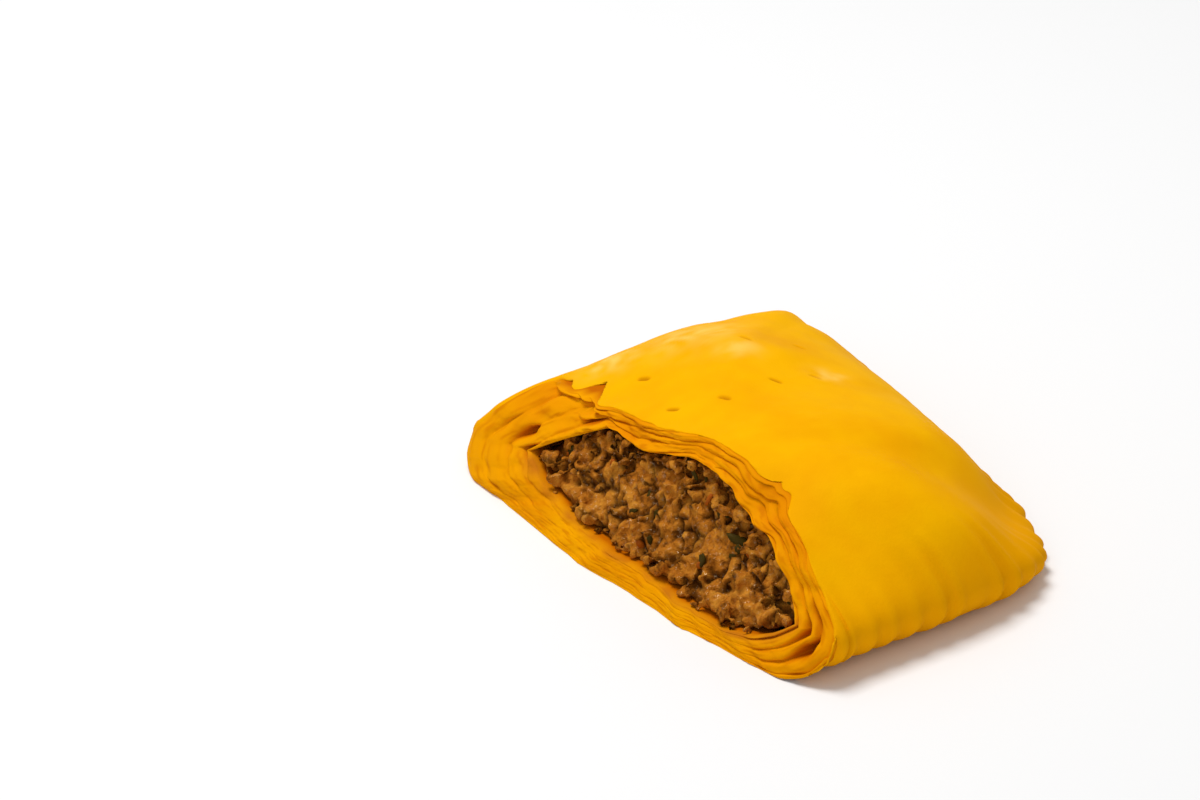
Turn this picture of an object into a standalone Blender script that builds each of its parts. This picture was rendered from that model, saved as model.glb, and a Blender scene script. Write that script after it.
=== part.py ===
"""Half of a baked Jamaican patty, cut open across its middle so that the minced filling shows.

The patty is one sheet of flaky dough folded over the filling. The fold runs along the far side (+Y), and the
other sides are crimped shut: the near side (-Y) and the end (+X). The cut faces -X. Two solids are made, the
pastry and the filling, each as a pillow over the patty's outline that is then cut open.
"""

import math
import random

import bmesh
import bpy
from mathutils import Matrix, Vector, noise
from mathutils.bvhtree import BVHTree

MM = 0.001

# Driving dimensions of the whole patty before it was cut
WIDTH = 94 * MM
HEIGHT = 26.0 * MM
CRIMP_HALF_LENGTH = 46.8 * MM
FOLD_HALF_LENGTH = 66.5 * MM
CROWN_Y = 40 * MM
OUTLINE_POWER_CRIMP = 5.5
OUTLINE_POWER_FOLD = 7.0
CROWN_EASE = 0.25

# The crimped rim
CRIMP_PITCH = 4.3 * MM
CRIMP_DEPTH = 0.45 * MM
FLANGE_WIDTH = 3.0 * MM
FLANGE_HEIGHT = 4.6 * MM
FLANGE_CORNER = 3.5 * MM

# The pocket that holds the filling
TOP_CRUST = 3.4 * MM
BOTTOM_CRUST = 2.2 * MM
BOTTOM_DOUBLED = 1.2 * MM
SEAL_NEAR = 9.0 * MM
SEAL_FOLD = 16.5 * MM
SEAL_END = 10.0 * MM
FIT_GAP = 0.35 * MM

# The cut: its top edge lies further back than its bottom edge
CUT_SLANT = 0.4
CUT_FOOT = -5.5 * MM
CUT_BELLY = 5.5 * MM
CUT_PRESSED = 3.0 * MM
CUT_DENTED = 1.7 * MM
CUT_PINCHED = 3.3 * MM
CUT_HEAPED = 2.4 * MM
CUT_RAGGED = 1.1 * MM
LAYERS = 4
GROOVE_DEPTH = 2.0 * MM
TORN_BACK = 0.9 * MM

# The minced filling that shows
CRUMB_SPACING = 4.0 * MM
CRUMB_RADIUS = (1.6 * MM, 2.6 * MM)
CRUMB_SEED = 11

# Docking slits pressed through the top sheet: places as (X, Y), with a common size and direction
SLITS = (
    (11.5 * MM, 67.8 * MM),
    (7.4 * MM, 54.5 * MM),
    (13.4 * MM, 48.9 * MM),
    (24.3 * MM, 49.9 * MM),
    (32.1 * MM, 49.7 * MM),
    (29.1 * MM, 64.0 * MM),
)
SLIT_LENGTH = 2.4 * MM
SLIT_WIDTH = 1.0 * MM
SLIT_DEPTH = 1.2 * MM
SLIT_TURN = math.radians(-66)


def lerp(a, b, share):
    return a + (b - a) * share


def smooth_step(low, high, value):
    share = min(1.0, max(0.0, (value - low) / (high - low)))
    return share * share * (3 - 2 * share)


def outline_point(angle, inset_near=0.0, inset_fold=0.0, inset_end=0.0):
    """A point of the patty's outline seen from above: a rounded shape, longer along the fold than the crimp."""
    power = OUTLINE_POWER_FOLD if math.sin(angle) > 0 else OUTLINE_POWER_CRIMP
    radius = (abs(math.cos(angle)) ** power + abs(math.sin(angle)) ** power) ** (-1 / power)
    low, high = inset_near, WIDTH - inset_fold
    y = (low + high) / 2 + radius * math.sin(angle) * (high - low) / 2
    half_length = lerp(CRIMP_HALF_LENGTH, FOLD_HALF_LENGTH, y / WIDTH) - inset_end
    return Vector((radius * math.cos(angle) * half_length, y, 0))


class Column:
    """One spot on an outline, with what the rim does there and how the sheets above it turn."""

    def __init__(self, point, normal, arc):
        self.point = point
        self.normal = normal
        turned = math.asin((point - Vector((0, CROWN_Y, 0))).normalized().y)
        self.fold_body = smooth_step(0.1, 1.3, turned)
        self.near_body = smooth_step(0.85, 1.5, -turned)
        self.far = smooth_step(-0.1, 0.6, turned)
        self.corner = math.exp(-(((turned + 0.64) / 0.19) ** 2))
        self.fold = smooth_step(0.2, 0.9, normal.y)
        self.near = smooth_step(0.35, 0.95, -normal.y)
        self.end = 1 - self.fold - self.near
        self.arc = arc


def columns_of(insets, kept_step, fold_step, hidden_step):
    """Spots round an outline, close together where the crimped rim stays and wide apart where it is cut away."""
    samples = 4000
    angles = [2 * math.pi * i / samples - math.pi / 2 for i in range(samples)]
    points = [outline_point(a, *insets) for a in angles]
    columns, travelled, due = [], 0.0, 0.0
    for i, point in enumerate(points):
        ahead = points[(i + 1) % samples] - points[i - 1]
        normal = Vector((ahead.y, -ahead.x, 0)).normalized()
        if travelled >= due:
            columns.append(Column(point, normal, travelled))
            kept = point.x > -CRIMP_PITCH
            step = hidden_step if not kept else lerp(kept_step, fold_step, columns[-1].fold)
            due = travelled + step
        travelled += (points[(i + 1) % samples] - point).length
    return columns


def crimp_wave(arc):
    """From -1 in a pressed groove to 1 on a ridge, a little uneven as pressed by hand."""
    drift = 0.35 * noise.noise(Vector((arc / (3 * CRIMP_PITCH), 4.0, 0)))
    return math.cos(2 * math.pi * (arc / CRIMP_PITCH + drift))


def by_side(column, near, fold, end):
    """One value made of those for the near side, the fold and the end, as much as the spot belongs to each."""
    return near * column.near + fold * column.fold + end * column.end


def edge_height(column):
    """Height of the outline's own line, where the top sheet meets the bottom one."""
    return by_side(column, 6.5 * MM, 5.0 * MM, 3.0 * MM) - 2.0 * MM * column.corner


def body_rise(column, closeness, run):
    """How far the body has risen, from 0 at the rim to 1 at the crown. Closeness is 1 at the rim and 0 at the
    crown, and run is the way from one to the other. The end rises steeply at first, the other sides evenly."""
    power = 3.5 + 1.0 * column.fold_body - 1.5 * column.near_body
    eased = (math.hypot(closeness, CROWN_EASE) - CROWN_EASE) / (math.hypot(1, CROWN_EASE) - CROWN_EASE)
    even = lerp(1 - eased, 1 - closeness**power, lerp(0.8, 0.6, column.near_body))
    steep = lerp(0.46, 0.53, column.end) - 0.22 * column.far
    width = (lerp(3.0, 4.5, column.end) + 5.0 * column.corner) * MM
    wall = 1 - math.exp(-(((1 - closeness) * run / width) ** lerp(1.15, 1.5, column.corner)))
    walled = steep * wall + (1 - steep) * lerp(1 - eased, 1 - closeness**2.2, 0.7)
    return lerp(walled, even, max(column.near_body, column.fold_body))


def top_sheet(column, share):
    """Distance in from the outline and height of the top sheet: share is 0 at the outline and 1 at the crown."""
    reach = (column.point - Vector((0, CROWN_Y, 0))).length
    flange = lerp(0.8 * MM, FLANGE_WIDTH, column.end) + FLANGE_CORNER * column.corner
    lip = by_side(column, lerp(6.8 * MM, 8.5 * MM, column.near_body), 7.0 * MM, FLANGE_HEIGHT)
    lip += 0.8 * MM * column.corner
    if share < 0.2:
        along = share / 0.2
        rise = math.sin(along * math.pi / 2) ** 0.8
        return flange * along, lerp(edge_height(column), lip, rise)
    inward = (share - 0.2) / 0.8
    closeness = 1 - inward ** 1.6
    rise = body_rise(column, closeness, reach - flange)
    return lerp(reach, flange, closeness), lerp(lip, HEIGHT, rise)


def bottom_sheet(column, share):
    """The same for the bottom sheet, which is flat where it lies and turns up to the rim: 0 is the rim."""
    reach = (column.point - Vector((0, CROWN_Y, 0))).length
    turned = by_side(column, 8.0 * MM, 7.0 * MM, 3.0 * MM) - 3.0 * MM * column.corner
    edge = edge_height(column)
    if share < 0.6:
        angle = share / 0.6 * math.pi / 2
        return turned * (1 - math.cos(angle)), edge * (1 - math.sin(angle))
    return lerp(turned, reach, (share - 0.6) / 0.4), 0.0


def swell(place):
    """How far the patty's top rises above or sinks below its even shape: soft rolls, and where the blade that cut
    it pressed it down, hardest behind the middle."""
    rolls = noise.noise(place / (17 * MM)) * 0.9 * MM + noise.noise(place / (8 * MM)) * 0.35 * MM
    pressed = smooth_step(14 * MM, 26 * MM, place.y) * (1 - smooth_step(74 * MM, 90 * MM, place.y))
    return rolls - CUT_PRESSED * pressed * at_cut(place) - CUT_DENTED * at_cut(place, 53 * MM, 10 * MM)


def at_cut(place, y=0.0, spread=math.inf):
    """How much a spot lies at the cut, and there at a distance from the near rim."""
    return math.exp(-((place.x / (14 * MM)) ** 2) - ((place.y - y) / spread) ** 2)


def pinch(place):
    """How far the crust alone is pinched down at the cut, next to the fold."""
    return CUT_PINCHED * at_cut(place, 69 * MM, 11 * MM)


def heap(place):
    """How far the filling alone is heaped up at the cut, under the thinnest of the crust."""
    return CUT_HEAPED * at_cut(place, 63 * MM, 7 * MM)


def crust_point(column, level):
    """A point of the pastry's outside. Level -1 is under the crown, 0 is the rim and 1 is the crown."""
    on_top = level >= 0
    inward, height = top_sheet(column, level) if on_top else bottom_sheet(column, -level)
    centre = Vector((0, CROWN_Y, 0))
    outward = (column.point - centre).normalized()
    wave = crimp_wave(column.arc)
    crimped = 1 - column.fold
    low_on_wall = 1 - smooth_step(1.5 * MM, lerp(10 * MM, 7 * MM, column.end), inward)
    pushed = CRIMP_DEPTH * crimped * wave * low_on_wall
    place = column.point - outward * inward + column.normal * pushed
    place.z = height
    if on_top:
        place.z += (swell(place) - pinch(place)) * smooth_step(0.0, 14 * MM, inward)
        flat_flange = column.end * (1 - smooth_step(FLANGE_WIDTH, 2.0 * FLANGE_WIDTH, inward))
        place.z += CRIMP_DEPTH * 0.8 * wave * flat_flange * smooth_step(0.0, 0.2, level)
    return place


def filling_point(column, level, grown):
    """A point of the filling's outside, or of the pocket round it when grown by the gap between them."""
    middle = Vector((0, CROWN_Y, 0))
    high = HEIGHT - TOP_CRUST + grown
    seam = by_side(column, 7.0 * MM, 7.6 * MM, 5.5 * MM)
    share = abs(level) ** 0.75
    place = lerp(column.point + column.normal * grown, middle, share)
    closeness = 1 - share
    if level >= 0:
        place.z = seam + (high - seam) * (1 - closeness**2.1) ** 1.1
        place.z += (swell(place) + heap(place)) * smooth_step(0.0, 0.5, level)
    else:
        low = BOTTOM_CRUST + BOTTOM_DOUBLED * smooth_step(20 * MM, 44 * MM, place.y) - grown
        place.z = low + (seam - low) * closeness ** lerp(6, 4, column.fold)
    return place


def pillow(columns, levels, place):
    """A closed mesh: a grid whose columns go round the outline and whose levels go from the bottom to the top."""
    mesh = bmesh.new()
    across, up = len(columns), len(levels) - 1
    bmesh.ops.create_grid(mesh, x_segments=across, y_segments=up, size=1)
    for vertex in mesh.verts:
        i = round((vertex.co.x + 1) / 2 * across)
        j = round((vertex.co.y + 1) / 2 * up)
        vertex.co = place(columns[i % across], levels[j])
    bmesh.ops.remove_doubles(mesh, verts=mesh.verts, dist=0.001 * MM)
    bmesh.ops.recalc_face_normals(mesh, faces=mesh.faces)
    return mesh


def half_section(columns, side, sign, place, samples=60):
    """The profile at the cut from the rim to the crown, on one side and one sheet, as evenly spaced points."""
    column = min(columns, key=lambda c: (c.point - Vector((0, side, 0))).length)
    straight = Column(Vector((0, column.point.y, 0)), Vector((0, math.copysign(1, side - CROWN_Y), 0)), column.arc)
    points = [place(straight, sign * i / (4 * samples)) for i in range(4 * samples + 1)]
    for point in points:
        point.x = 0
    gone = [0.0]
    for a, b in zip(points, points[1:]):
        gone.append(gone[-1] + (b - a).length)
    even, j = [], 0
    for i in range(samples + 1):
        goal = gone[-1] * i / samples
        while j < len(gone) - 2 and gone[j + 1] < goal:
            j += 1
        even.append(points[j].lerp(points[j + 1], (goal - gone[j]) / max(gone[j + 1] - gone[j], 1e-12)))
    return even


def section_loop(columns, place, counts):
    """The whole closed profile at the cut: over the top from the near side to the fold, and back underneath."""
    far = WIDTH
    loop = []
    for side, sign, count, outbound in ((0, 1, counts[0], True), (far, 1, counts[1], False),
                                        (far, -1, counts[1], True), (0, -1, counts[0], False)):
        part = half_section(columns, side, sign, place, count)
        loop += part[:-1] if outbound else part[:0:-1]
    return loop


def ring_noise(share, size, seed):
    """Noise that closes on itself round the profile."""
    turn = share * 2 * math.pi
    return noise.noise(Vector((math.cos(turn) * size, math.sin(turn) * size, seed)))


def cut_plane(y, z):
    """How far back (+X) the smooth cut lies: the foot is bowed outwards and the top lies back."""
    bowed = math.sqrt(math.sin(math.pi * min(1.0, max(0.0, y / WIDTH))))
    return CUT_FOOT + CUT_SLANT * z - CUT_BELLY * bowed * (1 - smooth_step(0, 0.4 * HEIGHT, z))


def cut_depth(share, y, height, layer):
    """How far back (+X) one layer of the crust ends, at a share of the way round the profile."""
    ragged = ring_noise(share, 2.2, 1.7) * CUT_RAGGED + ring_noise(share, 7.0, 3.1 + layer) * CUT_RAGGED * 0.7
    fold_top = math.exp(-(((share - 0.36) / 0.075) ** 2))
    torn = (LAYERS - 1 - layer) * TORN_BACK * fold_top
    return cut_plane(y, height) + ragged + torn


def cut_cutter(outer, inner):
    """A closed cutter for everything in front of the cut. Its face is stepped and grooved, so that it leaves
    the crust's layers standing at different lengths with gaps between them."""
    count = len(outer)
    far_out = -2 * FOLD_HALF_LENGTH
    rows = [("flat", -0.5), ("layer", -0.5, 0)]
    for layer in range(LAYERS):
        start, stop = layer / LAYERS, (layer + 1) / LAYERS
        thin = 0.18 / LAYERS
        rows += [("layer", start + thin if layer else 0.0, layer), ("layer", stop - thin, layer)]
        if layer < LAYERS - 1:
            rows += [("groove", stop, layer)]
    rows += [("layer", 1.25, LAYERS - 1)]
    mesh = bmesh.new()
    bmesh.ops.create_grid(mesh, x_segments=count, y_segments=len(rows) - 1, size=1)
    for vertex in mesh.verts:
        i = round((vertex.co.x + 1) / 2 * count) % count
        row = rows[round((vertex.co.y + 1) / 2 * (len(rows) - 1))]
        share = i / count
        place = outer[i].lerp(inner[i], row[1])
        if row[0] == "flat":
            place.x = far_out
        else:
            place.x = cut_depth(share, place.y, place.z, row[2])
        if row[0] == "groove":
            place.x += GROOVE_DEPTH * (0.75 + 0.6 * ring_noise(share, 5.0, 9.0 + row[2]))
        vertex.co = place
    bmesh.ops.remove_doubles(mesh, verts=mesh.verts, dist=0.001 * MM)
    bmesh.ops.holes_fill(mesh, edges=[e for e in mesh.edges if e.is_boundary])
    bmesh.ops.recalc_face_normals(mesh, faces=mesh.faces)
    return mesh


def filling_face(y, z):
    """How far back (+X) the filling's cut face lies: set in at its upper edge and ends, and standing
    out in the middle and at the foot."""
    centre_y, centre_z = 46 * MM, 12 * MM
    off_centre = math.hypot((y - centre_y) / (36 * MM), (z - centre_z) / (11 * MM))
    bulge = lerp(0.3 * MM, 2.2 * MM, smooth_step(0.2, 1.0, off_centre))
    at_the_ends = smooth_step(0.75, 1.0, abs(y - centre_y) / (36 * MM))
    bulge *= lerp(0.15, 1.0, max(smooth_step(7 * MM, 14 * MM, z), at_the_ends))
    lumps = noise.noise(Vector((y, z, 0)) / (6 * MM)) * 0.8 * MM
    return cut_plane(y, z) + bulge + lumps


def face_cutter(step):
    """A block in front of the filling, with its back shaped as the filling's cut face."""
    mesh = bmesh.new()
    margin = 8 * MM
    size_y, size_z = WIDTH + 2 * margin, HEIGHT + 2 * margin
    bmesh.ops.create_grid(mesh, x_segments=round(size_y / step), y_segments=round(size_z / step), size=1)
    for vertex in mesh.verts:
        y = -margin + (vertex.co.x + 1) / 2 * size_y
        z = -margin + (vertex.co.y + 1) / 2 * size_z
        vertex.co = Vector((filling_face(y, z), y, z))
    front = bmesh.ops.extrude_face_region(mesh, geom=list(mesh.faces))
    for item in front["geom"]:
        if isinstance(item, bmesh.types.BMVert):
            item.co.x = -2 * FOLD_HALF_LENGTH
    bmesh.ops.recalc_face_normals(mesh, faces=mesh.faces)
    return mesh


def inside(loop, y, z):
    """Whether a spot of the cut face lies inside a closed profile."""
    crossings = 0
    for a, b in zip(loop, loop[1:] + loop[:1]):
        if (a.y > y) != (b.y > y) and z < a.z + (b.z - a.z) * (y - a.y) / (b.y - a.y):
            crossings += 1
    return crossings % 2 == 1


def crumb_spots(loop, draw):
    """Evenly spread spots on the cut face of the filling, shaken a little."""
    rows, spots = round(HEIGHT / CRUMB_SPACING), []
    for row in range(rows + 1):
        for column in range(round(WIDTH / CRUMB_SPACING) + 1):
            y = (column + 0.5 * (row % 2) + draw.uniform(-0.25, 0.25)) * CRUMB_SPACING
            z = (row + draw.uniform(-0.25, 0.25)) * CRUMB_SPACING
            if inside(loop, y, z):
                spots.append((y, z))
    draw.shuffle(spots)
    return spots


def crumb(place, radius, draw):
    """One lump of minced filling: a small uneven ball, longer one way than the others."""
    mesh = bmesh.new()
    bmesh.ops.create_icosphere(mesh, subdivisions=2, radius=1)
    axis = Vector((draw.gauss(0, 1), draw.gauss(0, 1), draw.gauss(0, 1)))
    turn = Matrix.Rotation(draw.uniform(0, math.pi), 3, axis)
    stretch = Vector((draw.uniform(0.8, 1.0), draw.uniform(0.9, 1.35), draw.uniform(0.65, 0.9)))
    seed = draw.uniform(0, 50)
    for vertex in mesh.verts:
        bump = 1 + 0.35 * noise.noise(vertex.co * 1.3 + Vector((seed, 0, 0)))
        vertex.co = turn @ Vector([a * b for a, b in zip(vertex.co, stretch)]) * radius * bump + place
    return mesh


def crumbs(loop, collection):
    """All lumps on the cut face, the largest first."""
    draw = random.Random(CRUMB_SEED)
    spots = crumb_spots(loop, draw)
    radii = sorted((draw.uniform(*CRUMB_RADIUS) for _ in spots), reverse=True)
    made = []
    for number, ((y, z), radius) in enumerate(zip(spots, radii)):
        place = Vector((filling_face(y, z) + 0.3 * radius, y, z))
        made.append(object_of(f"crumb_{number}", crumb(place, radius, draw), collection))
    return made


def object_of(name, mesh, collection):
    data = bpy.data.meshes.new(name)
    mesh.to_mesh(data)
    mesh.free()
    made = bpy.data.objects.new(name, data)
    collection.objects.link(made)
    return made


def material_of(name, colour, roughness):
    made = bpy.data.materials.new(name)
    made.use_nodes = True
    shader = made.node_tree.nodes["Principled BSDF"]
    shader.inputs["Base Color"].default_value = (*colour, 1)
    shader.inputs["Roughness"].default_value = roughness
    shader.inputs["Metallic"].default_value = 0.0
    return made


def combine(target, operation, others):
    """Joins or cuts the target with the other objects in one Boolean, applies it and removes them."""
    group = bpy.data.collections.new(target.name + "_" + operation.lower())
    bpy.context.scene.collection.children.link(group)
    for other in others:
        for old in list(other.users_collection):
            old.objects.unlink(other)
        group.objects.link(other)
    change = target.modifiers.new(operation.lower(), "BOOLEAN")
    change.operation = operation
    change.solver = "EXACT"
    change.operand_type = "COLLECTION"
    change.collection = group
    graph = bpy.context.evaluated_depsgraph_get()
    made = bpy.data.meshes.new_from_object(target.evaluated_get(graph))
    target.modifiers.clear()
    target.data = made
    for other in others:
        bpy.data.objects.remove(other)
    bpy.data.collections.remove(group)


def keep_largest(target):
    """Drops the loose scraps that a cut leaves, keeping the one body."""
    mesh = bmesh.new()
    mesh.from_mesh(target.data)
    left, groups = set(mesh.verts), []
    while left:
        group, edge = set(), [left.pop()]
        while edge:
            vertex = edge.pop()
            group.add(vertex)
            near = {e.other_vert(vertex) for e in vertex.link_edges} & left
            left -= near
            edge += near
        groups.append(group)
    keep = max(groups, key=len)
    scraps = [v for group in groups if group is not keep for v in group]
    bmesh.ops.delete(mesh, geom=scraps, context="VERTS")
    mesh.to_mesh(target.data)
    mesh.free()


def slit_cutters(pastry, collection):
    """Lenses that dent the top sheet as docking blades do."""
    solid = bmesh.new()
    solid.from_mesh(pastry.data)
    surface = BVHTree.FromBMesh(solid)
    solid.free()
    made = []
    for number, (x, y) in enumerate(SLITS):
        spot, *_ = surface.ray_cast(Vector((x, y, 2 * HEIGHT)), Vector((0, 0, -1)))
        mesh = bmesh.new()
        shape = Matrix.Diagonal((SLIT_LENGTH / 2, SLIT_WIDTH / 2, SLIT_DEPTH, 1))
        place = Matrix.Translation(spot) @ Matrix.Rotation(SLIT_TURN, 4, "Z") @ shape
        bmesh.ops.create_icosphere(mesh, subdivisions=1, radius=1, matrix=place)
        made.append(object_of(f"slit_{number}", mesh, collection))
    return made


def centre_on_origin(objects):
    """Moves the meshes so that the middle of their shared footprint is the origin. They already lie on Z = 0."""
    spots = [vertex.co for item in objects for vertex in item.data.vertices]
    middle = [(min(spot[axis] for spot in spots) + max(spot[axis] for spot in spots)) / 2 for axis in (0, 1)]
    for item in objects:
        item.data.transform(Matrix.Translation((-middle[0], -middle[1], 0)))


def build():
    for old in list(bpy.data.objects):
        bpy.data.objects.remove(old)
    scene = bpy.context.scene.collection

    crust_levels = [-1, -0.6, -0.45, -0.3, -0.15, 0, 0.07, 0.13, 0.2, 0.27, 0.34, 0.42, 0.52, 0.64, 0.8, 1]
    crust_columns = columns_of((0, 0, 0), CRIMP_PITCH / 3, 5 * MM, 14 * MM)
    pastry = object_of("pastry", pillow(crust_columns, crust_levels, crust_point), scene)

    pocket_insets = (SEAL_NEAR, SEAL_FOLD, SEAL_END)
    pocket_levels = [-1, -0.5, -0.28, -0.13, -0.04, 0, 0.04, 0.12, 0.24, 0.4, 0.65, 1]
    pocket_columns = columns_of(pocket_insets, 5 * MM, 6 * MM, 14 * MM)

    def pocket_point(column, level):
        return filling_point(column, level, FIT_GAP)

    pocket = object_of("pocket", pillow(pocket_columns, pocket_levels, pocket_point), scene)
    counts = (17, 21)
    outer = section_loop(crust_columns, crust_point, counts)
    inner = section_loop(pocket_columns, pocket_point, counts)
    cutter = object_of("cutter", cut_cutter(outer, inner), scene)
    combine(pastry, "DIFFERENCE", [pocket, cutter, *slit_cutters(pastry, scene)])
    keep_largest(pastry)
    pastry.data.materials.append(material_of("baked turmeric pastry", (0.85, 0.43, 0.01), 0.6))

    def core_point(column, level):
        return filling_point(column, level, 0.0)

    filling = object_of("filling", pillow(pocket_columns, pocket_levels, core_point), scene)
    face = object_of("face", face_cutter(3 * MM), scene)
    combine(face, "DIFFERENCE", crumbs(section_loop(pocket_columns, core_point, counts), scene))
    combine(filling, "DIFFERENCE", [face])
    keep_largest(filling)
    filling.data.materials.append(material_of("minced beef filling", (0.26, 0.09, 0.02), 0.4))
    centre_on_origin([pastry, filling])


build()
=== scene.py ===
"""Half of a baked Jamaican patty, cut open across its middle so that the minced filling shows.

The crust is a folded sheet of flaky dough, and its broken layers show at the cut, round the filling. Every
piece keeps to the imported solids' own form, so the form's dimensions are repeated here, with deeper crimps.
"""

import math
import random

import bmesh
import bpy
from bpy.props import FloatProperty, FloatVectorProperty, IntProperty, PointerProperty
from mathutils import Matrix, Vector, noise
from mathutils.bvhtree import BVHTree
from mathutils.kdtree import KDTree


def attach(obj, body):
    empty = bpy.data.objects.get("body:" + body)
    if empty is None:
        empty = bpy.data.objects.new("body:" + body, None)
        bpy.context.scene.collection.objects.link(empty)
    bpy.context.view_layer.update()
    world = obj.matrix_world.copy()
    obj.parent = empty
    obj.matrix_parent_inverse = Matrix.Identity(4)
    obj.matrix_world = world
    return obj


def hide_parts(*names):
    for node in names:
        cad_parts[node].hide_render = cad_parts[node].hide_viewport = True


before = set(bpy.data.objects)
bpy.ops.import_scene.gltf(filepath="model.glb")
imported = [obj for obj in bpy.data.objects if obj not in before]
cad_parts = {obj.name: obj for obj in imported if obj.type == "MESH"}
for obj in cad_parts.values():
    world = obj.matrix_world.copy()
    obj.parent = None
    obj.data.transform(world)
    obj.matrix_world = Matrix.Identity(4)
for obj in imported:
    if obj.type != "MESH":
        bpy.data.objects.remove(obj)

bl_info = {
    "name": "Jamaican patty half",
    "version": (1, 0, 0),
    "blender": (4, 5, 0),
    "location": "View3D > Sidebar > Patty",
    "description": "Makes a cut half of a Jamaican patty with a flaky crust and a minced filling",
    "category": "Object",
}

MM = 0.001

# The form, as measured from the cut (X), the near rim (Y) and the table (Z)
WIDTH = 94 * MM
HEIGHT = 26.0 * MM
CRIMP_HALF_LENGTH = 46.8 * MM
FOLD_HALF_LENGTH = 66.5 * MM
CROWN = Vector((0, 40 * MM, 0))
OUTLINE_POWER_CRIMP = 5.5
OUTLINE_POWER_FOLD = 7.0
CROWN_EASE = 0.25
CRIMP_PITCH = 4.3 * MM
CRIMP_DEPTH = 0.7 * MM
FLANGE_WIDTH = 3.0 * MM
FLANGE_HEIGHT = 4.6 * MM
FLANGE_CORNER = 3.5 * MM
TOP_CRUST = 3.4 * MM
BOTTOM_CRUST = 2.2 * MM
BOTTOM_DOUBLED = 1.2 * MM
SEAL_NEAR = 9.0 * MM
SEAL_FOLD = 16.5 * MM
SEAL_END = 10.0 * MM
FIT_GAP = 0.35 * MM
CUT_SLANT = 0.4
CUT_FOOT = -5.5 * MM
CUT_BELLY = 5.5 * MM
CUT_PRESSED = 3.0 * MM
CUT_DENTED = 1.7 * MM
CUT_PINCHED = 3.3 * MM
CUT_HEAPED = 2.4 * MM
CUT_RAGGED = 1.1 * MM

# At the near side, the fold and the end: the height of the outline's own line, how far in the bottom sheet
# turns up to it, and the height of the filling's own outline
EDGE_HEIGHTS = (6.5 * MM, 5.0 * MM, 3.0 * MM)
TURN_WIDTHS = (8.0 * MM, 7.0 * MM, 3.0 * MM)
SEAM_HEIGHTS = (7.0 * MM, 7.6 * MM, 5.5 * MM)

# How widely the baked rim is rounded, in what steps, and how far from the rim the dough moved
RIM_SLUMP = 2.4 * MM
SLUMP_STEP = 0.7 * MM
SLUMP_REACH = 30 * MM

# How far before the cut the outline is still followed closely, and its step beyond, where it is cut away
FOLLOWED_TO = -15 * MM
HIDDEN_STEP = 12 * MM

# Slits and flour lie above this height
TOP_ABOVE = 8 * MM

# From the form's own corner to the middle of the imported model's footprint
TO_FRAME = Matrix.Translation((-25.805 * MM, -46.775 * MM, 0))

# What the camera aims at, in the form's own place
AIMED_AT = (27.652 * MM, 46.65 * MM, 13 * MM)

# Docking slits pressed through the top sheet, as (X, Y) in millimetres, the clearly pressed ones first
SLITS = ((11.5, 67.8), (7.4, 54.5), (13.4, 48.9), (24.3, 49.9), (32.1, 49.7), (29.1, 64), (38, 61.4))
CLEAR_SLITS = 4
SLIT_TURN = math.radians(-66)

# Where the sheets have broken further back: share of the way round the profile, spread, how far
BROKEN = ((0.41, 0.036, 0.9), (0.385, 0.012, 0.4), (0.137, 0.02, 0.5), (0.30, 0.02, 0.12))

# Where the sheets have parted: share of the way round the profile, spread, number of the seam, how open
PARTED = (
    (0.478, 0.010, 2, 0.6),
    (0.503, 0.011, 3, 0.8),
    (0.405, 0.014, 3, 0.6),
    (0.985, 0.010, 3, 1.0),
    (0.003, 0.011, 4, 1.0),
    (0.020, 0.009, 3, 0.8),
)

# Where flour from the rolling still shows, as (X, Y, length) in millimetres
FLOUR_SPOTS = ((26, 74, 11), (35, 50, 4), (14, 80, 7), (26, 62, 5))

# Levels run from -1 under the crown by way of 0 at the rim to 1 at the crown. The top sheet's rim ends at one
# of them, and the bottom sheet lies flat beyond another.
RIM_LEVEL = 0.2
BASE_LEVEL = 0.6
POCKET_LEVELS = (
    *(-1, -0.7, -0.5, -0.35, -0.22, -0.13, -0.07, -0.03),
    *(0, 0.03, 0.07, 0.13, 0.22, 0.35, 0.5, 0.7, 1),
)
CRUST_LEVELS = (
    *(-1, -0.85, -0.7),
    *(-BASE_LEVEL + 0.06 * i for i in range(10)),
    *(0.02 * i for i in range(10)),
    *(RIM_LEVEL + (1 - RIM_LEVEL) * (i / 64) ** 0.8 for i in range(65)),
)

# How far to both sides of the cut the skin's mesh is refined
REFINED = 2.5 * MM

# Grid of the layered face: spots round the profile, places across one sheet, and shares of the way back
FACE_SPOTS = 620
SHEET_PLACES = (0.0, 0.05, 0.11, 0.19, 0.3, 0.44, 0.58, 0.71, 0.82, 0.9, 0.96)
FACE_BACK = (0.15, 0.4, 1.0)

# Lumps of mince, the largest first: share of the way from grain to lump, tries to place one, room kept free
LUMP_SIZES = ((1.0, 900, 0.85), (0.6, 1800, 0.8), (0.3, 3000, 0.75), (0.0, 3000, 0.9))

# Width and height of the camera's sensor in millimetres
SENSOR = (36, 24)


def linear(code):
    """The linear colour of an sRGB hex code."""
    channels = [int(code[i : i + 2], 16) / 255 for i in (0, 2, 4)]
    return [c / 12.92 if c <= 0.04045 else ((c + 0.055) / 1.055) ** 2.4 for c in channels]


def setting(name, description, default, **more):
    return FloatProperty(name=name, description=description, default=default, **more)


def length(name, description, default):
    return setting(name, description, default, min=0, precision=5, unit="LENGTH")


def colour(name, description, code):
    given = linear(code)
    return FloatVectorProperty(name=name, description=description, default=given, subtype="COLOR", size=3)


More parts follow.
